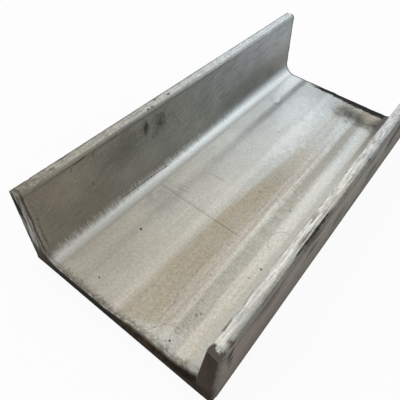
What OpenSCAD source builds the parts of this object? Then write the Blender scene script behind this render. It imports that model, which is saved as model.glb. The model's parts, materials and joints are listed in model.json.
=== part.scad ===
// Hot-rolled steel channel, tapered flanges, cut to a short length.
// It lies on the back of its web with the flanges up: X across the web,
// Y along the length, Z up, origin under the middle of the web.

/* [Section] */
// Depth of the section, across the backs of both flanges
depth = 120; // [80:1:200]
// Width of a flange, from the back of the web to its toe
flange_width = 55; // [40:1:90]
// Thickness of the web
web_thickness = 7; // [4:0.5:12]
// Thickness of a flange at half its width
flange_thickness = 9; // [7:0.5:14]
// Slope of a flange's inner face, in percent
flange_slope = 8; // [0:0.5:12]

/* [Corners] */
// Radius of the root fillet between web and flange
root_radius = 9; // [3:0.5:14]
// Radius on the inner edge of a toe
toe_inner_radius = 2; // [0.5:0.1:3]
// Radius on the outer edge of a toe
toe_outer_radius = 1; // [0.2:0.1:1.6]
// Radius on the heel, where the backs of web and flange meet
heel_radius = 0.8; // [0.2:0.1:2]

/* [Length] */
// Length between the two sawn ends
length = 250; // [100:10:1000]

/* [Hidden] */
half_depth = depth / 2;
slope_angle = atan(flange_slope / 100);
// Unit vector up a flange's inner face, on the +X side
up_inner_face = [sin(slope_angle), cos(slope_angle)];
toe_corner = [inner_face_x(flange_width), flange_width];
root_corner = [inner_face_x(web_thickness), web_thickness];
arc_steps = 64;
// How far a rounding sliver runs past its corner, so that it has no edge in common with the section
sliver_overlap = 0.4;
// Extra radius that makes an arc cross the faces it blends, instead of just touching them
arc_overlap = 0.0005;

// Where the inner face of the +X flange lies at height z
function inner_face_x(z) =
    half_depth - flange_thickness - (flange_width / 2 - z) * tan(slope_angle);

// The sliver between a corner and the arc that rounds it. The edges leave the
// corner along the unit vectors a and b. Added it is a fillet, cut it is a round.
module corner_sliver(corner, a, b, radius) {
    half_angle = acos(a * b) / 2;
    reach = radius / tan(half_angle);
    middle = (a + b) / norm(a + b);
    centre = corner + middle * radius / sin(half_angle);
    difference() {
        polygon([
            corner - middle * sliver_overlap,
            corner + a * reach,
            centre,
            corner + b * reach
        ]);
        translate(centre) circle(r = radius + arc_overlap, $fn = arc_steps);
    }
}

// Half of the section, from the middle of the web to the back of the +X flange
module half_section() {
    difference() {
        union() {
            polygon([
                [0, 0],
                [half_depth, 0],
                [half_depth, flange_width],
                toe_corner,
                root_corner,
                [0, web_thickness]
            ]);
            corner_sliver(root_corner, up_inner_face, [-1, 0], root_radius);
        }
        corner_sliver(toe_corner, -up_inner_face, [1, 0], toe_inner_radius);
        corner_sliver([half_depth, flange_width], [-1, 0], [0, -1], toe_outer_radius);
        corner_sliver([half_depth, 0], [-1, 0], [0, 1], heel_radius);
    }
}

module channel() {
    color("#b4b3ab")
    rotate([90, 0, 0])
    linear_extrude(height = length, center = true)
    union() {
        half_section();
        mirror([1, 0]) half_section();
    }
}

channel();
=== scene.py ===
"""A short length of hot-rolled steel channel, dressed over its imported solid.

Meshes are in metres. Relief and paint are worked out in millimetres, on the part's own axes:
x across the web, y along the length, z up. The near end, with the rough cut, is the one at -y.
"""

import json
import math
from collections import namedtuple

import bpy
from mathutils import Matrix, Vector


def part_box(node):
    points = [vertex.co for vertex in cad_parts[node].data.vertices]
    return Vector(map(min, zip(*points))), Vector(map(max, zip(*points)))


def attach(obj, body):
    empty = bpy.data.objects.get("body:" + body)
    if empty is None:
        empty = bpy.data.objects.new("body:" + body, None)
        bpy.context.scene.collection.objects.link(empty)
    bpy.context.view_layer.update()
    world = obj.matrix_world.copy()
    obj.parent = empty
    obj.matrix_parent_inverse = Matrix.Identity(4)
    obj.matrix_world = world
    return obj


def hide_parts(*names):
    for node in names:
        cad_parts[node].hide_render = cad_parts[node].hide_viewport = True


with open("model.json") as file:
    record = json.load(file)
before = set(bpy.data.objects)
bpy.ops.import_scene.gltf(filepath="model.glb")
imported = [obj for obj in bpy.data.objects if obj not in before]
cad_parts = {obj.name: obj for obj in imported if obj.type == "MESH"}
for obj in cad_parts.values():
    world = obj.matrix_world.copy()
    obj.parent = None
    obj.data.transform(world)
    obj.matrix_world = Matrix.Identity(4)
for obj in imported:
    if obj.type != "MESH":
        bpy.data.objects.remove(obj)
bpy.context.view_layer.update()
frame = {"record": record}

MM = 0.001

# Section, in millimetres
_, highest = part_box("channel")
mount_places = {mount["name"]: mount["pos_m"] for mount in frame["record"]["mounts"]}
HALF_DEPTH = highest.x / MM
HALF_LENGTH = highest.y / MM
FLANGE_WIDTH = highest.z / MM
WEB_THICKNESS = mount_places["web_inside"][2] / MM
FLANGE_THICKNESS = 9
FLANGE_SLOPE = 0.08
ROOT_RADIUS = 9
TOE_INNER_RADIUS = 2
TOE_OUTER_RADIUS = 1
HEEL_RADIUS = 0.8

# How finely the channel is divided: millimetres along each side of the section, rings along the length
BACK_SPACING = 5.0
OUTER_SPACING = 3.0
TOE_SPACING = 0.8
INNER_SPACING = 2.0
WEB_SPACING = 1.4
RING_COUNT = 270
# Share of the ring spacing that stays even; the rest crowds the rings towards the sawn ends
EVEN_SHARE = 0.15
# Points on each rounded corner: the fewest, and how many more for each millimetre of its radius
FEWEST_ROUND_POINTS = 4
ROUND_POINTS_PER_MM = 1.4
# Edges sharper than this, in degrees, are shaded as edges
SHARP_ANGLE = 38

# The photograph's camera: turns in degrees, place in millimetres, focal length and shift in pixels
CAMERA_AZIMUTH = 32.47
CAMERA_ELEVATION = 48.57
CAMERA_ROLL = 6.26
CAMERA_PLACE = (79.8, -173.7, 198.4)
FOCAL_PIXELS = 411.1
FRAME_PIXELS = 400
SHIFT_PIXELS = (12.9, -4.3)
SENSOR_WIDTH = 36

# Soft square lamps around the part, in metres and watts
Lamp = namedtuple("Lamp", "name direction distance side power")
LAMPS = [
    Lamp("far_left", (-0.30, 0.75, 0.60), distance=1.4, side=1.1, power=3.0),
    Lamp("far_right", (0.57, 0.61, 0.56), distance=1.2, side=0.35, power=0.7),
]
# Strength of the even light from all round
WORLD_LIGHT = 0.90
# White floor: half its side in metres, its gap below the part in millimetres, its paint and its glow
FLOOR_HALF_SIDE = 15
FLOOR_GAP = 0.05
FLOOR_PAINT = (0.8, 0.8, 0.8, 1)
FLOOR_GLOW = 0.92


def inner_face_x(height):
    """Where the inner face of the right flange lies at this height."""
    return HALF_DEPTH - FLANGE_THICKNESS - (FLANGE_WIDTH / 2 - height) * FLANGE_SLOPE


def tint(code):
    """A colour written as #rrggbb, as linear red, green, blue and alpha."""
    shares = [int(code[i:i + 2], 16) / 255 for i in (1, 3, 5)]
    return [s / 12.92 if s <= 0.04045 else ((s + 0.055) / 1.055) ** 2.4 for s in shares] + [1.0]


class Field:
    """A socket of a node tree. Sums on it add Math nodes, in geometry and shader trees alike."""

    def __init__(self, wiring, socket):
        self.wiring = wiring
        self.socket = socket

    def other(self, output):
        """Another output of the same node."""
        return Field(self.wiring, self.socket.node.outputs[output])

    def math(self, operation, *others):
        """A sum that starts with this socket."""
        return self.wiring.math(operation, self, *others)

    def __add__(self, other):
        return self.math("ADD", other)

    __radd__ = __add__

    def __sub__(self, other):
        return self.math("SUBTRACT", other)

    def __rsub__(self, other):
        return self.wiring.math("SUBTRACT", other, self)

    def __mul__(self, other):
        return self.math("MULTIPLY", other)

    __rmul__ = __mul__

    def __truediv__(self, other):
        return self.math("DIVIDE", other)

    def __pow__(self, other):
        return self.math("POWER", other)

    def __neg__(self):
        return self * -1

    def __abs__(self):
        return self.math("ABSOLUTE")

    def least(self, other):
        """The smaller of the two."""
        return self.math("MINIMUM", other)

    def most(self, other):
        """The larger of the two."""
        return self.math("MAXIMUM", other)


class Wiring:
    """Adds nodes to one tree and hands back their outputs as fields."""

    def __init__(self, tree):
        self.tree = tree

    def add(self, kind, settings=None, sockets=None, output=0):
        """A new node, with its settings and the values or links of its sockets."""
        node = self.tree.nodes.new(kind)
        for name, value in (settings or {}).items():
            setattr(node, name, value)
        for name, value in (sockets or {}).items():
            if isinstance(value, Field):
                self.tree.links.new(value.socket, node.inputs[name])
            else:
                node.inputs[name].default_value = value
        return Field(self, node.outputs[output]) if node.outputs else None

    def math(self, operation, *values):
        """A sum of numbers."""
        return self.add("ShaderNodeMath", {"operation": operation}, dict(enumerate(values)))

    def vector(self, operation, *values, output=0):
        """A sum of vectors."""
        return self.add("ShaderNodeVectorMath", {"operation": operation}, dict(enumerate(values)), output)

    def scaled(self, place, shares):
        """The place with each axis scaled. In a material a Mapping node does it without a conversion."""
        if self.tree.type == "SHADER":
            return self.add("ShaderNodeMapping", sockets={"Vector": place, "Scale": shares})
        return self.vector("MULTIPLY", place, shares)

    def point(self, x, y, z):
        """A vector from its x, y and z."""
        return self.add("ShaderNodeCombineXYZ", sockets={"X": x, "Y": y, "Z": z})

    def parts(self, vector):
        """The x, y and z of a vector."""
        x = self.add("ShaderNodeSeparateXYZ", sockets={"Vector": vector})
        return x, x.other("Y"), x.other("Z")

    def step(self, value, start, end, low=0.0, high=1.0):
        """Low below start, high above end, smooth between them."""
        sockets = {0: value, 1: start, 2: end, 3: low, 4: high}
        # A smooth step keeps its range by itself, and a clamp on each is more than the renderer can hold
        settings = {"interpolation_type": "SMOOTHSTEP", "clamp": False}
        return self.add("ShaderNodeMapRange", settings, sockets)

    def fall(self, value, start, end, high=1.0):
        """High below start, 0 above end, smooth between them."""
        return self.step(value, start, end, high, 0.0)

    def band(self, value, middle, half_width, blur):
        """1 within half_width of the middle, fading over the blur at both edges."""
        return self.fall(abs(value - middle), half_width - blur / 2, half_width + blur / 2)

    def noise(self, place, size, detail=2.0, stretch=(1, 1, 1), roughness=0.5):
        """Cloudy noise from 0 to 1 with features of about this size, drawn out along a large stretch."""
        sockets = {
            "Vector": self.scaled(place, [1 / (size * s) for s in stretch]),
            "Scale": 1.0,
            "Detail": detail,
            "Roughness": roughness,
        }
        return self.add("ShaderNodeTexNoise", sockets=sockets)

    def swing(self, place, size, **shape):
        """The same noise, swinging about 0."""
        return self.noise(place, size, **shape) - 0.5

    def blend(self, share, first, second):
        """Between two numbers."""
        return self.add("ShaderNodeMix", {"data_type": "FLOAT"}, {0: share, 2: first, 3: second})

    def mix(self, share, first, second):
        """Between two colours, each a field or written as #rrggbb."""
        first, second = (tint(c) if isinstance(c, str) else c for c in (first, second))
        return self.add("ShaderNodeMix", {"data_type": "RGBA"}, {0: share, 6: first, 7: second}, output=2)


# Rolling bands on the inside of the web: middle and half width across the web, blur of the edges,
# height of the wave in millimetres, and how much paler or darker its finish is, near and far
Band = namedtuple("Band", "middle half_width blur height near_shade far_shade")
WEB_BANDS = [
    Band(-29.6, 2.6, 3.6, -0.12, 0.98, 0.56),
    Band(-4.3, 2.5, 2.2, 0.08, 1.10, 1.10),
    Band(8.5, 9.0, 5.0, -0.08, 1.0, 1.0),
    Band(24.6, 1.6, 1.8, 0.06, 1.26, 1.06),
    Band(28.9, 2.7, 2.2, -0.12, 0.96, 0.68),
    Band(39.6, 5.4, 2.4, 0.10, 1.34, 1.22),
    Band(40.6, 1.0, 1.8, -0.05, 0.95, 0.88),
]

# Relief of the rolled faces and the sawn ends, in millimetres
ROLLED_UNEVENNESS = 0.14
NICK_DEPTH = 0.45
LAP_HEIGHT = 0.25
BURR_HEIGHT = 0.35
SAW_UNEVENNESS = 0.5
EDGE_BREAK = 0.35

# Near cut: how far back and how deep the web is torn, left and right of the range across it
TORN_RANGE = (-8, 14)
TORN_SETBACK = (0.3, 2.6)
TORN_DEPTH = (0.3, 2.2)
# How much further back it is torn beside the right root, and where that starts and is full
ROOT_TEAR = 1.4
ROOT_TEAR_RANGE = (34, 46)
# Blunted outer corner and worn toe of the right flange: how far back, and how far in or down
CORNER_SETBACK = 4.0
CORNER_INSET = 1.6
TOE_SETBACK = 3.6
TOE_WEAR = 2.6
TOE_WEAR_RANGE = (52.6, 54.6)
# Burr left standing there: middle, half width and blur across the toe
TOE_BURR = (56.8, 1.2, 1.6)
# Round lap mark rolled into the web: across, along, radius
LAP_MARK = (-34.5, 82, 4.2)


def torn_setback(w, place, x):
    """How far back the near edge of the web is torn, at x."""
    ragged = w.noise(w.scaled(place, (1, 0, 0)), 5, detail=4, roughness=0.6)
    setback = w.step(x, *TORN_RANGE, *TORN_SETBACK) + w.step(x, *ROOT_TEAR_RANGE, 0.0, ROOT_TEAR)
    return setback * (0.45 + 1.1 * ragged)


def torn_depth(w, x):
    """How deep it is torn there."""
    return w.step(x, *TORN_RANGE, *TORN_DEPTH)


def worn_toe(w, x, y, z):
    """How far the near end of the right toe is worn down, from 0 to 1 at the very end."""
    ragged = w.noise(w.point(x, 0.0, 0.0), 3, detail=3) * 0.8 + 0.6
    ragged = ragged * (1 - w.band(x, *TOE_BURR) * 0.65)
    worn = (1 - (y + HALF_LENGTH) / (ragged * TOE_SETBACK)).most(0.0)
    return worn * w.step(z, FLANGE_WIDTH - 4, FLANGE_WIDTH - 1) * w.step(x, *TOE_WEAR_RANGE)


def section_outline():
    """The eight corners of the section, joined in a ring.

    Each carries the radius of its rounding and the spacing of points along the side that follows it.
    """
    toe_x = inner_face_x(FLANGE_WIDTH)
    root_x = inner_face_x(WEB_THICKNESS)
    right_corners = [
        (HALF_DEPTH, 0, HEEL_RADIUS),
        (HALF_DEPTH, FLANGE_WIDTH, TOE_OUTER_RADIUS),
        (toe_x, FLANGE_WIDTH, TOE_INNER_RADIUS),
        (root_x, WEB_THICKNESS, ROOT_RADIUS),
    ]
    left_corners = [(-x, z, radius) for x, z, radius in reversed(right_corners)]
    corners = right_corners + left_corners
    right_sides = [OUTER_SPACING, TOE_SPACING, INNER_SPACING]
    spacings = right_sides + [WEB_SPACING] + right_sides[::-1] + [BACK_SPACING]
    outline = bpy.data.meshes.new("section_outline")
    edges = [(i, (i + 1) % len(corners)) for i in range(len(corners))]
    outline.from_pydata([(x * MM, 0, z * MM) for x, z, radius in corners], edges, [])
    radii = outline.attributes.new("corner_radius", "FLOAT", "POINT")
    radii.data.foreach_set("value", [radius * MM for x, z, radius in corners])
    spacing = outline.attributes.new("side_spacing", "FLOAT", "POINT")
    spacing.data.foreach_set("value", [s * MM for s in spacings])
    return outline


def named(w, name, kind="FLOAT"):
    """An attribute of the geometry."""
    return w.add("GeometryNodeInputNamedAttribute", {"data_type": kind}, {"Name": name})


def store(w, geometry, name, value, kind="FLOAT"):
    """The geometry with a value kept on its points."""
    settings = {"data_type": kind, "domain": "POINT"}
    sockets = {"Geometry": geometry, "Name": name, "Value": value}
    return w.add("GeometryNodeStoreNamedAttribute", settings, sockets)


def swept_outline(w, given):
    """The outline with its corners rounded and its sides divided, swept along the length."""
    curve = w.add("GeometryNodeMeshToCurve", sockets={"Mesh": given})
    radius = named(w, "corner_radius")
    round_points = radius / MM * ROUND_POINTS_PER_MM + FEWEST_ROUND_POINTS
    sockets = {"Curve": curve, "Count": round_points, "Radius": radius}
    curve = w.add("GeometryNodeFilletCurve", {"mode": "POLY"}, sockets)
    place = w.add("GeometryNodeInputPosition")
    following = w.add("GeometryNodeOffsetPointInCurve", sockets={"Offset": 1}, output="Point Index")
    settings = {"data_type": "FLOAT_VECTOR", "domain": "POINT"}
    next_place = w.add("GeometryNodeFieldAtIndex", settings, {"Value": place, "Index": following})
    side = w.vector("DISTANCE", place, next_place, output="Value")
    cuts = (side / named(w, "side_spacing")).math("FLOOR")
    curve = w.add("GeometryNodeSubdivideCurve", sockets={"Curve": curve, "Cuts": cuts})
    curve = store(w, curve, "section_place", w.add("GeometryNodeInputPosition"), "FLOAT_VECTOR")
    run_x, _, run_z = w.parts(w.add("GeometryNodeInputTangent"))
    curve = store(w, curve, "section_normal", w.point(run_z, 0.0, -run_x), "FLOAT_VECTOR")

    path = w.add("GeometryNodeCurvePrimitiveLine", sockets={"Start": (0, -1, 0), "End": (0, 1, 0)})
    sockets = {"Curve": path, "Count": given.other("Rings")}
    path = w.add("GeometryNodeResampleCurve", {"mode": "COUNT"}, sockets)
    even = w.add("GeometryNodeSplineParameter") * 2 - 1
    crowded = (even * (math.pi / 2)).math("SINE")
    along = (even * EVEN_SHARE + crowded * (1 - EVEN_SHARE)) * given.other("Half Length")
    path = store(w, path, "along", along)

    sockets = {"Curve": path, "Profile Curve": curve, "Fill Caps": True}
    swept = w.add("GeometryNodeCurveToMesh", sockets=sockets)
    x, _, z = w.parts(named(w, "section_place", "FLOAT_VECTOR"))
    place = w.point(x, named(w, "along"), z)
    return w.add("GeometryNodeSetPosition", sockets={"Geometry": swept, "Position": place})


def rolled_relief(w, place, normal):
    """How far the surface stands out along the section's normal, and how the ends stand back or sink."""
    x, y, z = w.parts(place)
    facing_x, _, facing_z = w.parts(normal)
    from_near = y + HALF_LENGTH
    from_far = HALF_LENGTH - y
    from_end = from_near.least(from_far)
    off_floor = w.step(z, 0.5, 3.0)
    inside_web = w.step(facing_z, 0.5, 0.95) * w.fall(z, 9, 14)
    toes = w.step(z, FLANGE_WIDTH - 3.5, FLANGE_WIDTH - 0.5)

    # Slight unevenness of every rolled face, and the bands left in the web
    offset = w.noise(place, 26, detail=2, stretch=(1, 2.5, 1)) * -ROLLED_UNEVENNESS * off_floor
    for band in WEB_BANDS:
        offset = offset + w.band(x, band.middle, band.half_width, band.blur) * inside_web * band.height

    # Nicks knocked into the toes
    nicks = w.step(w.noise(place, 3.2, detail=3, stretch=(1, 1.6, 1)), 0.58, 0.78)
    offset = offset - nicks * toes * NICK_DEPTH

    # Lap mark
    lap_x, lap_y, lap_radius = LAP_MARK
    lap_reach = ((x - lap_x) ** 2 + (y - lap_y) ** 2) ** 0.5
    offset = offset + w.fall(lap_reach, lap_radius * 0.6, lap_radius) * inside_web * LAP_HEIGHT

    # Broken edges of both sawn ends
    edge = (1 - from_end / EDGE_BREAK).most(0.0)
    offset = offset - (1 - (1 - edge ** 2).most(0.0) ** 0.5) * EDGE_BREAK * off_floor

    # Torn near edge of the web, with a raised burr here and there
    torn = (1 - from_near / torn_setback(w, place, x)).most(0.0)
    tear = inside_web.most(w.step(facing_z, 0.1, 0.5) * w.step(x, 38, 42) * w.fall(z, 10, 18))
    offset = offset - torn * torn_depth(w, x) * tear
    burr_side = inside_web.most(w.step(facing_x, 0.5, 0.9) * w.fall(x, -50, -40))
    burrs = w.step(w.noise(place, 7, detail=2), 0.52, 0.62)
    lip = w.band(from_near, 1.0, 0.5, 0.8) + w.band(from_far, 0.8, 0.4, 0.6)
    offset = offset + lip * burrs * burr_side * BURR_HEIGHT

    # Blunted outer corner of the right flange at the near end
    outer_right = w.step(facing_x, 0.5, 0.9) * w.step(x, HALF_DEPTH - 2, HALF_DEPTH - 1)
    blunt = (1 - from_near / CORNER_SETBACK).most(0.0) ** 1.3
    offset = offset - blunt * outer_right * CORNER_INSET

    # The saw left both ends a little uneven
    uneven = w.noise(place, 4, detail=3) * SAW_UNEVENNESS
    at_near = w.fall(from_near, 0.0, 2.0)
    at_far = w.fall(from_far, 0.0, 2.0)
    return offset, uneven * at_near - uneven * at_far, worn_toe(w, x, y, z) * -TOE_WEAR


def cut_metal(w, place):
    """1 where the saw, a tear or wear laid the metal bare, and on the blunted outer corner, 0 elsewhere."""
    x, y, z = w.parts(place)
    from_near = y + HALF_LENGTH
    setback = torn_setback(w, place, x)
    inside = w.step(x, -50, -44) * w.step(inner_face_x(z) + 1 - x, 0, 1) * w.step(z, 5, 6.5)
    torn = w.fall(from_near, setback * 0.5, setback * 1.1) * inside * w.fall(z, 13, 18)
    worn = w.step(worn_toe(w, x, y, z), 0.05, 0.2)
    # The blunted outer corner takes the dark cut finish as painted shade
    corner = w.fall(from_near, 0.2, 3.2) * w.step(x, HALF_DEPTH - 1.5, HALF_DEPTH - 0.5)
    at_end = w.fall(from_near.least(HALF_LENGTH - y), 0.02, 0.2)
    return at_end.most(torn).most(worn).most(corner)


def rolled_channel_tree():
    """Geometry nodes that sweep the section, roll its relief in and mark the sawn metal."""
    tree = bpy.data.node_groups.new("rolled_channel", "GeometryNodeTree")
    inputs = [
        ("Section", "NodeSocketGeometry"),
        ("Half Length", "NodeSocketFloat"),
        ("Rings", "NodeSocketInt"),
        ("Finish", "NodeSocketMaterial"),
    ]
    for name, kind in inputs:
        tree.interface.new_socket(name, in_out="INPUT", socket_type=kind)
    tree.interface.new_socket("Channel", in_out="OUTPUT", socket_type="NodeSocketGeometry")
    w = Wiring(tree)
    given = w.add("NodeGroupInput")

    swept = swept_outline(w, given)
    place = w.scaled(w.add("GeometryNodeInputPosition"), [1 / MM] * 3)
    normal = named(w, "section_normal", "FLOAT_VECTOR")
    marked = store(w, swept, "sawn", cut_metal(w, place))

    offset, end_offset, sinking = rolled_relief(w, place, normal)
    facing_x, _, facing_z = w.parts(normal)
    shift = w.point(facing_x * offset * MM, end_offset * MM, (facing_z * offset + sinking) * MM)
    shaped = w.add("GeometryNodeSetPosition", sockets={"Geometry": marked, "Offset": shift})

    for name in ("section_place", "section_normal", "along", "corner_radius", "side_spacing"):
        shaped = w.add("GeometryNodeRemoveAttribute", sockets={"Geometry": shaped, "Name": name})
    # Kept for the finish, which sets its marks by this place
    final_place = w.scaled(w.add("GeometryNodeInputPosition"), [1 / MM] * 3)
    shaped = store(w, shaped, "place_mm", final_place, "FLOAT_VECTOR")
    shaped = w.add("GeometryNodeRealizeInstances", sockets={"Geometry": shaped})
    sockets = {"Geometry": shaped, "Material": given.other("Finish")}
    shaped = w.add("GeometryNodeSetMaterial", sockets=sockets)
    w.add("NodeGroupOutput", sockets={"Channel": shaped})
    return tree


def channel_piece(finish):
    """The channel as a plain mesh in its place."""
    tree = rolled_channel_tree()
    settings = {
        "Half Length": HALF_LENGTH * MM,
        "Rings": RING_COUNT,
        "Finish": finish,
    }
    piece = bpy.data.objects.new("steel_channel", section_outline())
    bpy.context.scene.collection.objects.link(piece)
    modifier = piece.modifiers.new("rolling", "NODES")
    modifier.node_group = tree
    for item in tree.interface.items_tree:
        if item.name in settings:
            modifier[item.identifier] = settings[item.name]
    graph = bpy.context.evaluated_depsgraph_get()
    rolled = bpy.data.meshes.new_from_object(
        piece.evaluated_get(graph), preserve_all_data_layers=True, depsgraph=graph
    )
    piece.modifiers.remove(modifier)
    piece.data = rolled
    rolled.shade_smooth()
    rolled.set_sharp_from_angle(angle=math.radians(SHARP_ANGLE))
    return piece


# A soft-edged stain: its middle and reach along the two axes of its face, colour and strength
Stain = namedtuple("Stain", "u v reach_u reach_v colour strength")
# On the inside of the web: across, along
WEB_STAINS = [
    # Paler and bluer towards the far left, a painted reflection of cool light beyond the far end
    Stain(-38, 114, 7, 13, "#dfe6f0", 0.18),
    Stain(-16, 78, 11, 34, "#d6dce1", 0.30),
    Stain(-1, 56, 8, 46, "#e0e4e3", 0.42),
    Stain(9, 48.5, 2.6, 3.2, "#e3e5e2", 0.60),
    # Painted highlight on the raised lap mark
    Stain(-35, 82, 5.5, 5.5, "#d8dddd", 0.65),
    # Greyer at the near left
    Stain(-31, -53, 13, 18, "#a3a5a3", 0.45),
    # Warmer and paler along the right-hand bands
    Stain(28.5, 35, 6, 85, "#a0967d", 0.45),
    Stain(36, 26, 5, 34, "#e0ded4", 0.50),
    Stain(38, 86, 7, 30, "#cbc5b4", 0.35),
    # Dark at the far end of the left band, and black at the far edge as painted shade
    Stain(-29.5, 113, 3.5, 18, "#70777d", 0.50),
    Stain(-12, 125, 5.5, 5.5, "#0d0f12", 1.0),
    # Darker in the corner by the near right root, a painted shade
    Stain(43.5, -122, 5, 6, "#7a7566", 0.60),
]
# Old damp stain at the far right of the web: across, along
DAMP_STAINS = [
    Stain(30, 113, 34, 28, "#857d69", 0.90),
    Stain(14, 107, 13, 16, "#54524a", 0.90),
    Stain(19, 107, 14, 14, "#34332d", 0.90),
    Stain(28, 105, 13, 13, "#2e2c25", 0.92),
    Stain(40, 106, 12, 14, "#281f12", 0.92),
    Stain(34, 113, 10, 11, "#a89f86", 0.60),
    Stain(22, 118, 9, 8, "#9d9785", 0.50),
    Stain(40, 120, 7, 7, "#8d7f62", 0.40),
    Stain(44, 107, 9, 34, "#2c2010", 0.85),
]
# On the inside of the left flange: along, up
FLANGE_STAINS = [
    Stain(-62.0, 42.0, 24, 19, "#5f615b", 0.80),
    Stain(-44.2, 45.2, 2.6, 6.4, "#1d1e1b", 0.85),
]
# Patches of short upright scuffs there
Patch = namedtuple("Patch", "u v reach_u reach_v strength")
FLANGE_SCUFFS = [
    Patch(-44, 46, 7, 9, 0.60),
    Patch(-33, 44, 10, 13, 0.62),
    Patch(-37, 38, 8, 7, 0.50),
]
# On the back of the right flange: along, up
BACK_STAINS = [
    Stain(-50, 53, 14, 10, "#1d1c19", 0.90),
    Stain(-48, 34, 10, 7, "#34322e", 0.60),
    Stain(60, 38, 19, 13, "#24241f", 0.85),
    Stain(17, 49, 7, 6, "#2b2a27", 0.80),
    Stain(-12, 26, 12, 10, "#3f3c37", 0.60),
    Stain(36, 24, 12, 11, "#43413f", 0.60),
    Stain(-90, 44, 14, 9, "#443e39", 0.60),
    # Painted shade line beside the blunted near corner
    Stain(-118.5, 46, 3.0, 11, "#221d18", 0.85),
    Stain(-116, 32, 2.0, 9, "#2b2520", 0.60),
]
# Gouges and specks along the toes: along, across
TOE_GOUGES = [
    Stain(-56, 59.2, 20, 1.1, "#141311", 1.0),
    Stain(-60, 57.4, 9, 0.7, "#3d3b37", 0.75),
    Stain(-46, 55.0, 6, 1.6, "#5b5953", 0.65),
    Stain(-41, 57.2, 5, 0.8, "#4b4945", 0.60),
    Stain(-9.3, 53.6, 1.3, 1.0, "#3f3d39", 0.70),
    Stain(-9.3, 57, 1.1, 0.8, "#3f3d39", 0.70),
    Stain(7, 59, 2.5, 0.9, "#3f3d39", 0.70),
    Stain(-115, 54.0, 2.0, 0.9, "#6b5d4a", 0.70),
    Stain(-111, 53.4, 2.2, 0.8, "#6f6a60", 0.70),
    Stain(-97, 53.2, 3.6, 0.6, "#8a867c", 0.60),
    Stain(-118, 58.8, 1.8, 1.3, "#4b382a", 0.85),
    Stain(-30.3, -58.4, 1.3, 1.0, "#22201d", 1.0),
    Stain(-27.6, -59.2, 1.2, 0.8, "#2b2925", 0.90),
    Stain(-20.7, -56.2, 1.3, 1.0, "#22201d", 1.0),
    Stain(-36.2, -54.6, 1.4, 0.9, "#2b2925", 0.90),
    Stain(-39.4, -54.8, 1.2, 0.9, "#2b2925", 0.85),
    Stain(-96, -58.8, 3.0, 0.9, "#3a352c", 0.75),
    Stain(-104, -56.6, 2.2, 0.8, "#4a4438", 0.70),
]
# Black painted shade of a burr at the near end of the left flange: across, up
END_NICK = Stain(-60.2, 44.5, 5.0, 10, "#080807", 1.0)
# A straight scratch: its ends, width and strength
Scratch = namedtuple("Scratch", "start end width strength")
WEB_SCRATCHES = [
    Scratch((-43, -45.1), (21.5, -46.0), 0.50, 0.46),
    Scratch((-42, -43.8), (-4, -44.6), 0.45, 0.22),
    Scratch((-27, -17.2), (-11, -16.2), 0.60, 0.36),
    Scratch((-36, -41), (-22, -38), 0.60, 0.22),
    Scratch((-35, -38), (-24, -35.5), 0.60, 0.18),
    Scratch((-33, -32), (-27, -30.5), 0.70, 0.20),
    Scratch((-14, 49), (-9, 51), 0.80, 0.35),
    Scratch((5, 46), (13, 52), 0.50, 0.25),
]
# On the left flange and its root: along, up
FLANGE_SCRATCHES = [
    Scratch((-98, 49), (-94, 52.6), 0.55, 0.70),
    Scratch((-95, 52.4), (-85, 53.4), 0.60, 0.70),
    Scratch((-83, 48), (-81, 53.5), 0.50, 0.60),
    Scratch((-56, 38), (-41, 36), 0.45, 0.30),
    Scratch((-22, 45), (-14, 30), 0.45, 0.35),
    Scratch((-86.5, 32), (-86, 36), 0.70, 0.55),
    Scratch((-43.0, 50.8), (-44.4, 43.0), 1.10, 0.70),
    Scratch((-44.6, 46.0), (-45.8, 40.6), 0.80, 0.60),
    Scratch((-29.8, 49.8), (-28.2, 42.0), 0.75, 0.60),
    Scratch((-31.8, 48.0), (-30.4, 41.2), 0.65, 0.50),
    Scratch((-29.4, 44.4), (-27.8, 37.6), 0.75, 0.55),
    Scratch((-33.4, 46.6), (-32.2, 40.4), 0.65, 0.42),
    Scratch((-32.2, 42.4), (-31.0, 36.2), 0.65, 0.45),
    Scratch((-35.2, 44.0), (-34.2, 38.0), 0.65, 0.38),
    Scratch((-35.0, 51.0), (-33.6, 45.8), 0.65, 0.40),
    Scratch((-38.6, 44.2), (-37.8, 39.2), 0.65, 0.34),
    Scratch((-25.4, 47.0), (-23.6, 41.0), 0.60, 0.30),
]
ROOT_SCRATCHES = [
    Scratch((-74, 11.4), (-30, 9.7), 0.34, 0.75),
]
# Part of a ring drawn dark on the web, a scuff, except beside the lap mark, where it is its painted shadow:
# its middle and radius, which way its drawn part faces and how far that spreads to either side, in degrees,
# its width and strength
Arc = namedtuple("Arc", "u v radius facing spread width strength")
WEB_ARCS = [
    Arc(42, -34.5, 8.8, 170, 95, 0.8, 0.34),
    Arc(28.5, -110.5, 1.4, 0, 180, 1.1, 0.30),
    Arc(29, -121, 11.5, 122, 42, 0.9, 0.28),
    # Painted shadow beside the raised lap mark
    Arc(LAP_MARK[0], LAP_MARK[1], LAP_MARK[2] + 0.6, -15, 60, 2.2, 0.40),
]
# Dark pits in the web: across, along, radius, strength
Pit = namedtuple("Pit", "u v radius strength")
WEB_PITS = [
    Pit(-26.9, -78.2, 0.80, 1.0),
    Pit(-21.7, -114.5, 0.70, 0.60),
    Pit(41.2, -56.4, 0.85, 1.0),
    Pit(39.0, -65.1, 0.70, 0.45),
    Pit(28.4, -116.8, 0.65, 0.85),
    Pit(43.6, -110, 1.2, 0.80),
    Pit(32.6, -9.9, 0.70, 0.70),
    Pit(31.2, -20, 0.60, 0.35),
    Pit(30.4, -99, 1.0, 0.38),
    Pit(31.5, -97, 0.7, 0.45),
    Pit(23, -8.5, 0.60, 0.40),
    Pit(9.5, -9, 1.2, 0.18),
]
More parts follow.
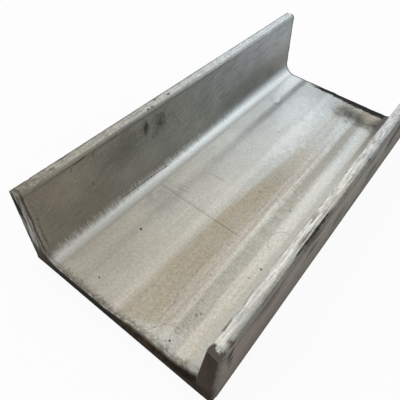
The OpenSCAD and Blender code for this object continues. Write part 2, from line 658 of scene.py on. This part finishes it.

# Colours of each face in plain light; a pair is what one mix runs between
# Inside of the web; the far colour of the steel is bluer, a painted reflection of cool light beyond the far
# end
WEB_STEEL = ("#bbb6a8", "#bcc2c3")
WEB_BLOOM = "#b0a793"
WEB_BLUSH = "#bdb2a4"
WEB_WIPED = "#d0d0c9"
WEB_FLECK = "#6e624f"
WEB_SCRATCH = "#57534a"
WEB_PIT = "#0f0d0a"
WEB_GRIME = "#4b473e"
WEB_CHIP = "#d6d0c2"
# Black of the painted shade along the far edge
FAR_EDGE_BLACK = "#0b0b0a"
# Roots between web and flanges: a painted highlight band, painted shade above it and a paler foot; the
# right root darkens far away as painted shade
ROOT_BRIGHT = ("#b8b8b2", "#dfe8ea")
ROOT_DULL = ("#847f75", "#828687")
ROOT_FOOT = ("#b4b1a5", "#b8bdbb")
RIGHT_ROOT = ("#d4d1c6", "#8d8676")
RIGHT_ROOT_RUST = "#2b1f0e"
ROOT_SCRATCH = "#3b3a35"
ROOT_GRIME = "#4b4942"
# Inside of the flanges
FLANGE_STEEL = ("#8d877c", "#8a8b84")
FLANGE_COOL = "#8f9496"
SCUFF = "#2a2b28"
FLANGE_SCRATCH = "#33332f"
TOE_LINE = "#35352f"
SAW_MARK = "#312f2a"
SAW_MARK_PALE = "#a5a299"
# Toes: the far colours are bluer, a painted reflection; the right toe's outer colour is a painted shade
LEFT_TOE = ("#a09c90", "#b2b9bb")
RIGHT_TOE = ("#cbcbc4", "#999991")
RIGHT_TOE_FAR = "#aeb4b8"
TOE_INNER_EDGE = "#dddcd4"
TOE_SCRAPE = "#3d3a36"
TOE_BROWN = "#5a5244"
TOE_OUTER_EDGE = "#45413c"
TOE_LIP = "#dedad0"
TOE_CUT_MARK = "#3d3a34"
# Back of the section, painted dark partly as shade
BACK_STEEL = ("#7b736b", "#827f77")
BACK_SCAB = "#3d3831"
BACK_KNOCKED = "#292622"
BACK_GRIME = "#332d2a"
# Cut ends, dark partly as painted shade, with a painted shadow low down and a painted highlight on the
# corner
CUT_BROWNS = ("#1e160d", "#40301d")
CUT_BY_ROOT = "#150e08"
CUT_BLACK = "#0b0907"
FLANGE_END_BROWNS = ("#281e17", "#483c32")
CUT_CORNER = "#6d6761"
SAWN_GREYS = ("#23211d", "#a5a39a")
CUT_OUTLINE = "#151310"
# Thin painted shade along the far end
FAR_LINE = "#1a1512"

# Where one finish gives way to the next, in millimetres: heights, and places out from the middle
HOLLOW_START = (4.0, 5.5)
ROOT_START = (40.5, 42.5)
FLANGE_START = (12.5, 17.0)
# Start of the toe's finish out from the middle and its depth below the top, left and right
TOE_STARTS = (53.8, 50.8)
TOE_DEPTHS = (1.5, 5.0)
# Strength of the fine relief, and how much light the steel throws back besides its colour
RELIEF_STRENGTH = 0.7
SPECULAR_LEVEL = 0.2

# In the finishes, steps and bands are in millimetres, and what multiplies them is a share.
# What the light meets: colour, roughness, how metallic it is, and fine relief in millimetres
Finish = namedtuple("Finish", "colour roughness metallic relief")


def stain(w, spot, mark, ragged, core=0.35):
    """Full strength over the core of the stain's reach, fading raggedly to nothing at its end."""
    shares = (1 / mark.reach_u, 1 / mark.reach_v, 0)
    start = (-mark.u / mark.reach_u, -mark.v / mark.reach_v, 0)
    away = w.vector("LENGTH", w.vector("MULTIPLY_ADD", spot, shares, start), output="Value")
    return w.fall(away + ragged, core, 1.0, mark.strength)


def stained(w, colour, spot, marks, ragged, core=0.35):
    """The colour with these stains laid over it, one after another."""
    for mark in marks:
        colour = w.mix(stain(w, spot, mark, ragged, core), colour, mark.colour)
    return colour


def scratch(w, spot, mark):
    """Strong along a straight scratch, nothing beside it."""
    run = Vector(mark.end) - Vector(mark.start)
    way = run.normalized()
    fade = min(3.0, run.length / 2)
    start = way.dot(Vector(mark.start))
    end = start + run.length
    middle = way.x * mark.start[1] - way.y * mark.start[0]
    along = w.vector("DOT_PRODUCT", spot, (way.x, way.y, 0), output="Value")
    across = w.vector("DOT_PRODUCT", spot, (-way.y, way.x, 0), output="Value")
    line = w.fall(abs(across - middle), mark.width * 0.3, mark.width, mark.strength)
    return line * w.step(along, start, start + fade) * w.fall(along, end - fade, end)


def arc(w, spot, mark):
    """Strong along the drawn part of a ring, nothing beside it."""
    from_middle = w.vector("SUBTRACT", spot, (mark.u, mark.v, 0))
    away = w.vector("LENGTH", from_middle, output="Value")
    facing = math.radians(mark.facing)
    ahead = w.vector("DOT_PRODUCT", from_middle, (math.cos(facing), math.sin(facing), 0), output="Value")
    limit = math.cos(math.radians(mark.spread))
    line = w.band(away, mark.radius, mark.width / 2, mark.width / 2)
    return line * w.step(ahead / away, limit - 0.15, limit + 0.15) * mark.strength


def pit(w, spot, mark):
    """Strong within the pit's radius, nothing beyond it."""
    away = w.vector("DISTANCE", spot, (mark.u, mark.v, 0), output="Value")
    return w.fall(away, mark.radius * 0.6, mark.radius * 1.1, mark.strength)


def together(w, mark_maker, spot, marks):
    """The marks of one kind on a face, added up."""
    total = mark_maker(w, spot, marks[0])
    for mark in marks[1:]:
        total = total + mark_maker(w, spot, mark)
    return total


def slanted(w, place, slope):
    """Coordinates along and across strokes that fall by this slope as they run along a flange."""
    length = math.hypot(1, slope)
    turn = Matrix(((0, 1, -slope), (0, slope, 1), (length, 0, 0))) * (1 / length)
    sockets = {"Vector": place, "Rotation": turn.to_euler(), "Scale": (0, length, length)}
    return w.add("ShaderNodeMapping", sockets=sockets)


def on_right(w, x):
    """1 on the right half of the channel, 0 on the left."""
    return w.step(x, -1, 1)


def shaded(w, colour, share):
    """The colour, made paler or darker by this share."""
    return w.add("ShaderNodeHueSaturation", sockets={"Value": share, "Color": colour})


def laid_over(w, share, lower, upper):
    """The upper finish laid over the lower one by this share."""
    numbers = [w.blend(share, a, b) for a, b in zip(lower[1:], upper[1:])]
    return Finish(w.mix(share, lower.colour, upper.colour), *numbers)


def web_finish(w, place, x, y):
    """Pickled inside of the web: rolling bands, browner in the middle, paler and bluer far away as a
    painted reflection.
    """
    waver = w.noise(place, 45, detail=2, stretch=(1, 3, 1)) * 2.5
    waver = waver + w.noise(place, 10, detail=3, stretch=(1, 2.5, 1)) * 2.0
    across = x + waver - 2.25
    ragged = w.swing(place, 6, detail=5, roughness=0.6) * 2.2
    clouds = w.swing(place, 32, detail=3, stretch=(1, 1.8, 1))
    blotches = w.swing(place, 8, detail=4, stretch=(1, 1.6, 1))
    speckle = w.swing(place, 2.4, detail=3, roughness=0.7)
    streaks = w.swing(place, 1.6, detail=3, stretch=(1, 22, 1))
    farther = w.step(y, -125, 115)
    far_half = w.step(y, -25, 105)
    rightwards = w.step(x, -8, 4)

    # Bluer far away: painted reflection of cool light beyond the far end
    colour = w.mix(farther, *WEB_STEEL)
    bloom_start = w.step(y, -75, 60) * 9 - 2.5
    bloom = w.step(across + speckle * 3 - bloom_start, 0, 5) * w.fall(across + speckle * 3, 15, 20)
    bloom = bloom * (1 - w.step(y, 0, 62) * 0.7)
    colour = w.mix(bloom * (0.85 + blotches * 1.6), colour, WEB_BLOOM)
    blush = w.band(across, 20.0, 3.4, 3.5) * w.fall(y, 20, 80)
    colour = w.mix(blush * 0.55, colour, WEB_BLUSH)
    fine_lines = rightwards * 0.18 + w.band(across, 21, 4, 4) * 0.50
    shade = 1 + clouds * 0.22 + blotches * 0.24 + streaks * (0.14 + fine_lines)
    shade = shade + speckle * (0.12 + rightwards * 0.26)
    far_end = w.step(y, 88, 122)
    # Paler along the left edge of the web, painted light against the shade of the left flange, less of it
    # at the very far end
    shade = shade * (1 + w.band(across, -42, 9, 9) * (0.14 + farther * 0.34 - far_end * 0.26))
    shade = shade * (1 + w.band(y, -20, 70, 60) * (1 - rightwards) * 0.09)
    shade = shade * (1 - far_end * (w.step(x, -30, -24) * 0.15 + w.band(x, -10, 4, 6) * 0.10))
    for band in WEB_BANDS:
        strength = band.near_shade - 1 + far_half * (band.far_shade - band.near_shade)
        shade = shade * (1 + w.band(across, band.middle, band.half_width, band.blur) * strength)
    colour = shaded(w, colour, shade)
    spot = w.point(x, y, 0.0)
    colour = stained(w, colour, spot, WEB_STAINS, ragged)
    colour = stained(w, colour, spot, DAMP_STAINS, ragged * 0.4 + speckle * 0.4, core=-0.25)
    wiped = w.step(x * 0.45 - y - 121 + ragged + blotches * 9, -2, 6) * w.band(x, 18, 16, 12)
    colour = w.mix(wiped * (0.55 + speckle), colour, WEB_WIPED)

    flecks = w.step(w.noise(place, 1.2, detail=1, stretch=(1, 1.5, 1)), 0.64, 0.73)
    flecks = flecks * w.band(across, 24, 10, 6) * w.fall(y, 20, 60)
    colour = w.mix(flecks * 0.40, colour, WEB_FLECK)
    # Scratches and scuffed rings darken the web; the last ring is the lap mark's painted shadow
    broken = w.step(blotches + speckle, -0.16, 0.10)
    worn = together(w, scratch, spot, WEB_SCRATCHES) + together(w, arc, spot, WEB_ARCS) * broken
    holes = together(w, pit, spot, WEB_PITS)
    colour = w.mix(worn, colour, WEB_SCRATCH)
    colour = w.mix(holes * 1.1, colour, WEB_PIT)

    # Grime along the torn near edge with chips and a painted edge highlight, and the black far edge, a
    # painted shade
    from_edge = y + HALF_LENGTH - torn_setback(w, place, x)
    specks = w.swing(place, 1.5, detail=3, roughness=0.65)
    grime = w.fall(from_edge + specks * 9, -0.5, 5.6 - rightwards * 1.4)
    colour = w.mix(grime * (0.80 - rightwards * 0.10), colour, WEB_GRIME)
    # Bright broken line at the torn edge: chips and a painted edge highlight
    chips = w.band(from_edge, 0.45, 0.3, 0.3) * w.step(w.noise(place, 4, detail=3), 0.46, 0.56)
    colour = w.mix(chips * 0.55, colour, WEB_CHIP)
    # Black far edge of the web, a painted shade
    from_far = HALF_LENGTH - y + ragged * 1.1 + specks * 5 - w.step(x, -15, 30) * 2.2
    far_grime = w.fall(from_far, 3.4, 5.4) * w.step(x, -27, -13)
    colour = w.mix(far_grime * 0.97, colour, FAR_EDGE_BLACK)

    roughness = 0.42 + blotches * 0.2 + bloom * 0.12 + grime * 0.2 + far_grime * 0.4
    metallic = 0.30 - bloom * 0.15 - grime * 0.15 - far_grime * 0.3
    return Finish(colour, roughness, metallic, streaks * 0.03 + speckle * 0.06)


def fillet_finish(w, place, x, y, z):
    """Root between web and flange: a painted highlight band with a bristly upper boundary at the near end,
    painted shade above it.
    """
    nearer = w.fall(y, -70, 80)
    farther = w.step(y, -120, 60)
    bristles = w.swing(place, 0.34, detail=1, stretch=(16, 1, 16))
    tufts = w.swing(place, 1.4, detail=2, stretch=(4, 1, 4))
    spread = 3.6 - nearer * 1.1
    raised = (bristles * 15 + tufts * 6) * (0.25 + nearer * 0.75)
    height = z + raised * w.step(z, 7.8, 10.5) + w.step(y, -20, 60) * 0.2
    bright = w.fall(height, 10.9 - spread, 10.9 + spread)
    peak = w.mix(farther, *ROOT_BRIGHT)
    dull = w.mix(w.step(y, -60, 60), *ROOT_DULL)
    colour = w.mix(bright, dull, peak)
    lower = w.fall(z, 7.15, 7.9)
    toward_web = w.mix(farther, *ROOT_FOOT)
    colour = w.mix(lower * 0.9, colour, toward_web)
    # Painted highlight along the ridge
    colour = shaded(w, colour, 1 + w.band(z, 8.6, 0.4, 0.9) * 0.12)
    right = on_right(w, x)
    # Right root darker far away, a painted shade of the right flange
    right_side = w.mix(w.step(y, 20, 95), *RIGHT_ROOT)
    right_side = w.mix(w.step(y + tufts * 12, 84, 108), right_side, RIGHT_ROOT_RUST)
    # Black at the far end of the right root, a painted shade
    right_side = w.mix(w.step(y + tufts * 8, HALF_LENGTH - 8, HALF_LENGTH - 5), right_side, FAR_EDGE_BLACK)
    colour = w.mix(right * 0.85, colour, right_side)
    worn = together(w, scratch, w.point(y, z, 0.0), ROOT_SCRATCHES) * (1 - right)
    colour = w.mix(worn, colour, ROOT_SCRATCH)
    grime = w.fall(y + HALF_LENGTH + bristles * 14, 0.5, 4.5 + right * 6)
    colour = w.mix(grime * 0.6, colour, ROOT_GRIME)
    return Finish(colour, 0.36 + right * 0.2, 0.4 - right * 0.3, bristles * nearer * 0.05)


def flange_finish(w, place, x, y, z):
    """Inside of the flanges: duller, brown at the near end, bluish towards the far top."""
    left = 1 - on_right(w, x)
    bristles = w.swing(slanted(w, place, -0.12), 0.6, detail=3, stretch=(1, 9, 1), roughness=0.65)
    brushed = w.swing(slanted(w, place, -0.18), 1.4, detail=4, stretch=(9, 1, 1), roughness=0.65)
    clouds = w.swing(place, 18, detail=4)
    far_half = w.step(y, -60, 40)
    colour = w.mix(w.step(y, -110, -40), *FLANGE_STEEL)
    cool = w.step(y, -50, 95) * w.step(z, 18, 46)
    colour = w.mix(cool, colour, FLANGE_COOL)
    # Darker below a line that rises towards the far end, a painted reflection
    line = 21 + w.step(y, 5, 75) * 9.5
    under = w.step(line - z + clouds * 8 + brushed * 16, -5.0, 6.0) * w.step(y, 8, 40)
    shade = 1 + brushed * (0.50 + far_half * 1.1) + bristles * (0.50 + far_half * 0.3) + clouds * 0.65
    # Top edge under the toe: painted shade near, painted light far away
    rim = w.step(z, FLANGE_WIDTH - 2.6, FLANGE_WIDTH - 0.8) * (0.24 - far_half * 0.49)
    colour = shaded(w, colour, (1 - under * 0.28) * (1 - rim) * shade)

    # Dark blotch, patches of upright scuffs and thin scratches on the left
    smudged = bristles * 1.6 + brushed * 0.8
    spot = w.point(y, z, 0.0)
    colour = stained(w, colour, spot, FLANGE_STAINS, smudged - left + 1, core=-0.2)
    scuffed = stain(w, spot, FLANGE_SCUFFS[0], 0.0, core=0.0)
    for patch in FLANGE_SCUFFS[1:]:
        scuffed = scuffed.most(stain(w, spot, patch, 0.0, core=0.0))
    scuffs = w.step(bristles + scuffed * 0.34, 0.07, 0.28) * left
    colour = w.mix(scuffs * 0.80, colour, SCUFF)
    worn = together(w, scratch, spot, FLANGE_SCRATCHES) * left
    colour = w.mix(worn, colour, FLANGE_SCRATCH)

    # Thin painted shadow line under the toe, and saw marks beside the near cut
    toe_line = w.band(z + bristles * 2, FLANGE_WIDTH - 2.2, 0.5, 0.6) * (1 - w.step(y, 20, 90) * 0.6)
    patchy = w.step(clouds + brushed, -0.16, 0.16)
    colour = w.mix(toe_line * left * (0.08 + patchy * 0.36), colour, TOE_LINE)
    from_cut = y + HALF_LENGTH + clouds * 5
    saw_marks = w.band(from_cut, 1.5, 0.5, 0.6) * 0.75 + w.band(from_cut, 4.0, 0.5, 0.8) * patchy * 0.6
    colour = w.mix(saw_marks, colour, SAW_MARK)
    colour = w.mix(w.band(from_cut, 2.7, 0.4, 0.6) * patchy * 0.4, colour, SAW_MARK_PALE)
    return Finish(colour, 0.42 + brushed * 0.16, 0.5, brushed * 0.05 + bristles * 0.03)


def toe_finish(w, place, x, y):
    """Scraped tops of the flanges: bright inside, with a painted highlight on the right toe's inner edge,
    painted shade on its outer half and along both outer edges, and bluer far away as painted reflection.
    """
    side = on_right(w, x)
    out = abs(x)
    ragged = w.swing(place, 2.5, detail=4) * 0.8
    scrapes = w.swing(place, 0.5, detail=2, stretch=(1, 36, 1), roughness=0.6)
    smears = w.swing(place, 1.2, detail=3, stretch=(1, 8, 1))
    mottle = w.swing(place, 1.5, detail=4, stretch=(1, 1.5, 1), roughness=0.65)
    nearer = w.fall(y, -20, 25)
    # Left toe bluer far away, a painted reflection
    left = w.mix(w.step(y, -115, 80), *LEFT_TOE)
    # Right toe darker on its outer half, a painted shade
    right = w.mix(w.step(out + ragged + smears * 3, 56.2, 58.8), *RIGHT_TOE)
    # Right toe bluer far away, a painted reflection
    right = w.mix((1 - nearer) * 0.5, right, RIGHT_TOE_FAR)
    colour = w.mix(side, left, right)
    # Painted highlight on the right toe's inner edge
    inner_edge = w.fall(out, 53.2, 54.3) * side
    colour = w.mix(inner_edge * 0.6, colour, TOE_INNER_EDGE)
    grit = mottle * (1.4 - side * 1.1)
    strokes = smears * (0.6 + side * 0.6) + scrapes * (0.8 + side * (2.0 - nearer))
    colour = shaded(w, colour, 1 + grit + strokes)
    scraped = w.step(scrapes - nearer * side * 0.04, 0.04, 0.12) * (0.35 + side * 0.5)
    colour = w.mix(scraped, colour, TOE_SCRAPE)
    browned = w.fall(y + mottle * 60, -122, -98) * (1 - side)
    colour = w.mix(browned * 0.5, colour, TOE_BROWN)
    # Dark along the outer edges, a painted shade
    edge = w.step(out + ragged * 0.8 + smears * 1.5, 58.2 + side * 0.2, 59.6)
    colour = w.mix(edge * (0.85 - side * 0.30), colour, TOE_OUTER_EDGE)
    colour = stained(w, colour, w.point(y, x, 0.0), TOE_GOUGES, ragged + smears + scrapes * 3)
    from_cut = y + HALF_LENGTH + ragged * 2
    end_lip = w.band(from_cut, TOE_SETBACK + 1.2, 1.2, 1.2) * w.fall(out, 56.5, 58.5) * side
    colour = w.mix(end_lip * 0.65, colour, TOE_LIP)
    cut_mark = w.band(from_cut, 2.4, 0.6, 0.6) * (1 - side)
    colour = w.mix(cut_mark * 0.60, colour, TOE_CUT_MARK)
    metallic = 0.55 - inner_edge * 0.3 - edge * 0.5
    return Finish(colour, 0.38 + scrapes * 0.2 + edge * 0.4, metallic, scrapes * 0.2 + grit * 0.06)


def outer_finish(w, place, x, y, z):
    """Back of the section, as it left the rolls: dull, mottled and streaked along its length, painted
    darker partly as shade.
    """
    right = on_right(w, x)
    mottle = w.noise(place, 12, detail=4, stretch=(1, 2, 1))
    streaks = w.noise(place, 1.6, detail=4, stretch=(1, 14, 1), roughness=0.6)
    smears = w.noise(place, 2.4, detail=4, stretch=(1, 1, 3.5), roughness=0.65)
    ragged = w.swing(place, 7, detail=5, roughness=0.6) * 1.4
    colour = w.mix(w.step(y, -120, 40), *BACK_STEEL)
    shade = 0.17 + mottle * 0.72 + streaks * 0.74 + smears * 0.20
    # Darker towards the bottom
    shade = shade * (0.88 + w.step(z, 2, 11) * 0.12)
    colour = shaded(w, colour, shade * (0.66 + w.step(z, 0, 44) * 0.34))
    scabs = w.step(w.noise(place, 4.5, detail=3), 0.62, 0.72)
    colour = w.mix(scabs * 0.5, colour, BACK_SCAB)
    knocked = w.step(z + ragged * 4 + smears * 8, FLANGE_WIDTH - 7, FLANGE_WIDTH + 1) * right
    colour = w.mix(knocked * (0.62 - w.step(y, -20, 60) * 0.42), colour, BACK_KNOCKED)
    # Darker towards the near cut, a painted shade
    cut_grime = w.fall(y + HALF_LENGTH + ragged * 3 + smears * 4, 2.0, 7.0)
    colour = w.mix(cut_grime * 0.20, colour, BACK_GRIME)
    uneven = ragged + (streaks - 0.5) * 2 + (1 - right) * 2
    colour = stained(w, colour, w.point(y, z, 0.0), BACK_STAINS, uneven)
    return Finish(colour, 0.88 + (mottle - 0.5) * 0.2, 0.05, streaks * 0.05 + mottle * 0.08 + smears * 0.02)


def sawn_finish(w, place, x, y, z):
    """Cut metal of the two ends: dark brown, partly grime and partly painted shade, black low down as
    painted shadow, paler on the rounded corner as painted highlight, greyer and lined on the left flange.
    """
    lines = w.noise(place, 1.5, detail=3, stretch=(1, 1, 14), roughness=0.6)
    blotches = w.noise(place, 2.6, detail=4, roughness=0.6)
    brown = w.mix(w.step(blotches, 0.36, 0.64), *CUT_BROWNS)
    brown = w.mix(w.step(x, 26, 38) * w.step(z, 2.5, 5.0) * 0.7, brown, CUT_BY_ROOT)
    # Black low down, a painted shadow
    black_top = 2.4 + w.band(x, -22, 20, 14) * 2.9 - w.step(x, 32, 48) * 1.4
    dark = w.mix(w.step(z + blotches * 1.6 - 0.8, black_top, black_top + 1.8), CUT_BLACK, brown)
    dark = w.mix(w.step(z, 8, 15), dark, w.mix(blotches, *FLANGE_END_BROWNS))
    # Paler on the rounded right corner, a painted highlight
    rounded = w.step(x + (blotches - 0.5) * 1.5, 58.1, 59.0).most(w.step(z + (x - 52) * 0.5, 51.5, 53.5))
    dark = w.mix(rounded * w.step(z, 14, 22) * 0.6, dark, CUT_CORNER)
    grey = w.mix(w.step(lines, 0.40, 0.64), *SAWN_GREYS)
    lined = w.fall(x, -53, -44) * w.step(z, 9, 20)
    colour = w.mix(lined, dark, grey)
    outline = w.step(-x + (blotches - 0.5) * 1.5, 58.6, 59.4)
    colour = w.mix(outline * 0.85, colour, CUT_OUTLINE)
    # Painted shade of the burr
    nick = stain(w, w.point(x, z, 0.0), END_NICK, (blotches - 0.5) * 0.8, core=0.6) * w.fall(y, -1, 1)
    colour = w.mix(nick, colour, END_NICK.colour)
    return Finish(colour, 0.85, 0.15, lines * 0.25 + blotches * 0.1)


def steel_finish():
    """The whole finish: each face's own, laid over one another where it lies."""
    material = bpy.data.materials.new("pickled_steel")
    material.use_nodes = True
    material.node_tree.nodes.clear()
    w = Wiring(material.node_tree)
    place = w.scaled(w.add("ShaderNodeTexCoord", output="Object"), [1 / MM] * 3)
    stored_place = w.add("ShaderNodeAttribute", {"attribute_name": "place_mm"}, output="Color")
    x, y, z = w.parts(stored_place)
    out = abs(x)

    # Where each finish lies
    beyond = 0.9 + w.step(z, FLANGE_WIDTH - 3.5, FLANGE_WIDTH - 1.5) * 2.2
    hollow = w.step(inner_face_x(z) + beyond - out, 0, 0.6) * w.step(z, *HOLLOW_START)
    root = w.step(out, *ROOT_START)
    above_root = w.step(z, *FLANGE_START)
    right = on_right(w, x)
    toe_start = w.blend(right, *TOE_STARTS)
    toe_depth = w.blend(right, *TOE_DEPTHS)
    toes = w.step(z + toe_depth, FLANGE_WIDTH - 0.4, FLANGE_WIDTH + 0.4)
    toes = toes * w.step(out, toe_start, toe_start + 1.0)
    sawn = w.add("ShaderNodeAttribute", {"attribute_name": "sawn"}, output="Fac")

    finish = laid_over(w, hollow, outer_finish(w, place, x, y, z), web_finish(w, place, x, y))
    finish = laid_over(w, hollow * root, finish, fillet_finish(w, place, x, y, z))
    finish = laid_over(w, hollow * above_root, finish, flange_finish(w, place, x, y, z))
    finish = laid_over(w, toes, finish, toe_finish(w, place, x, y))
    finish = laid_over(w, sawn, finish, sawn_finish(w, place, x, y, z))

    # Thin painted shade along the far end, and the fine grain of the pickled surface
    far_line = w.step(y, HALF_LENGTH - 2.2, HALF_LENGTH - 1.3)
    colour = w.mix(far_line * hollow * 0.85, finish.colour, FAR_LINE)
    grain = w.noise(place, 1.2, detail=3, roughness=0.65)
    colour = shaded(w, colour, 0.66 + grain * 0.68)
    relief = finish.relief + grain * 0.06
    bump = w.add("ShaderNodeBump", sockets={"Strength": RELIEF_STRENGTH, "Distance": MM, "Height": relief})
    shader = w.add("ShaderNodeBsdfPrincipled", sockets={
        "Base Color": colour,
        "Roughness": finish.roughness,
        "Metallic": finish.metallic,
        "Specular IOR Level": SPECULAR_LEVEL,
        "Normal": bump,
    })
    w.add("ShaderNodeOutputMaterial", sockets={"Surface": shader})
    return material


def stage_floor():
    """A white floor that keeps a faint shadow, and lets a camera below it see the part."""
    mesh = bpy.data.meshes.new("floor")
    corners = [(-1, -1), (1, -1), (1, 1), (-1, 1)]
    points = [(x * FLOOR_HALF_SIDE, y * FLOOR_HALF_SIDE, 0) for x, y in corners]
    mesh.from_pydata(points, [], [(0, 1, 2, 3)])
    floor = bpy.data.objects.new("floor", mesh)
    floor.location.z = -FLOOR_GAP * MM
    bpy.context.scene.collection.objects.link(floor)
    material = bpy.data.materials.new("white_floor")
    material.use_nodes = True
    material.node_tree.nodes.clear()
    w = Wiring(material.node_tree)
    paint = w.add("ShaderNodeBsdfDiffuse", sockets={"Color": FLOOR_PAINT})
    white = w.add("ShaderNodeEmission", sockets={"Strength": 1.0})
    shown = shown_rays(w)
    lit = w.add("ShaderNodeMixShader", sockets={0: shown * FLOOR_GLOW, 1: paint, 2: white})
    behind = w.add("ShaderNodeNewGeometry", output="Backfacing")
    clear = w.add("ShaderNodeBsdfTransparent")
    surface = w.add("ShaderNodeMixShader", sockets={0: behind, 1: lit, 2: clear})
    w.add("ShaderNodeOutputMaterial", sockets={"Surface": surface})
    mesh.materials.append(material)


def shown_rays(w):
    """1 for the rays that show the background: straight from the camera, mirrored or through glass."""
    camera = w.add("ShaderNodeLightPath", output="Is Camera Ray")
    return camera.most(camera.other("Is Glossy Ray")).most(camera.other("Is Transmission Ray"))


def studio_light():
    """Even white light from all round, a white background, and the lamps."""
    world = bpy.data.worlds.new("studio")
    world.use_nodes = True
    world.node_tree.nodes.clear()
    w = Wiring(world.node_tree)
    strength = WORLD_LIGHT + shown_rays(w) * (1 - WORLD_LIGHT)
    glow = w.add("ShaderNodeBackground", sockets={"Color": (1, 1, 1, 1), "Strength": strength})
    w.add("ShaderNodeOutputWorld", sockets={"Surface": glow})
    bpy.context.scene.world = world
    for lamp in LAMPS:
        soft_lamp(lamp)


def soft_lamp(lamp):
    """A square lamp that faces the part."""
    light = bpy.data.lights.new(lamp.name, "AREA")
    light.shape = "SQUARE"
    light.size = lamp.side
    light.energy = lamp.power
    holder = bpy.data.objects.new(lamp.name, light)
    towards = Vector(lamp.direction).normalized()
    holder.location = towards * lamp.distance
    holder.rotation_euler = towards.to_track_quat("Z", "Y").to_euler()
    bpy.context.scene.collection.objects.link(holder)


def photo_camera():
    """The camera of the photograph."""
    azimuth = math.radians(CAMERA_AZIMUTH)
    elevation = math.radians(CAMERA_ELEVATION)
    roll = math.radians(CAMERA_ROLL)
    back = Vector((
        math.sin(azimuth) * math.cos(elevation),
        -math.cos(azimuth) * math.cos(elevation),
        math.sin(elevation),
    ))
    right = Vector((0, 0, 1)).cross(back).normalized()
    up = back.cross(right)
    rolled_right = right * math.cos(roll) + up * math.sin(roll)
    rolled_up = up * math.cos(roll) - right * math.sin(roll)
    lens = bpy.data.cameras.new("photo_camera")
    lens.sensor_fit = "HORIZONTAL"
    lens.sensor_width = SENSOR_WIDTH
    lens.lens = SENSOR_WIDTH * FOCAL_PIXELS / FRAME_PIXELS
    lens.shift_x = -SHIFT_PIXELS[0] / FRAME_PIXELS
    lens.shift_y = SHIFT_PIXELS[1] / FRAME_PIXELS
    lens.clip_start = 0.01
    camera = bpy.data.objects.new("photo_camera", lens)
    turn = Matrix((rolled_right, rolled_up, back)).transposed()
    camera.matrix_world = Matrix.Translation(Vector(CAMERA_PLACE) * MM) @ turn.to_4x4()
    bpy.context.scene.collection.objects.link(camera)
    bpy.context.scene.camera = camera


photo_camera()
stage_floor()
studio_light()
bpy.context.scene.view_settings.view_transform = "Standard"

channel = channel_piece(steel_finish())
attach(channel, "root")
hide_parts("channel")
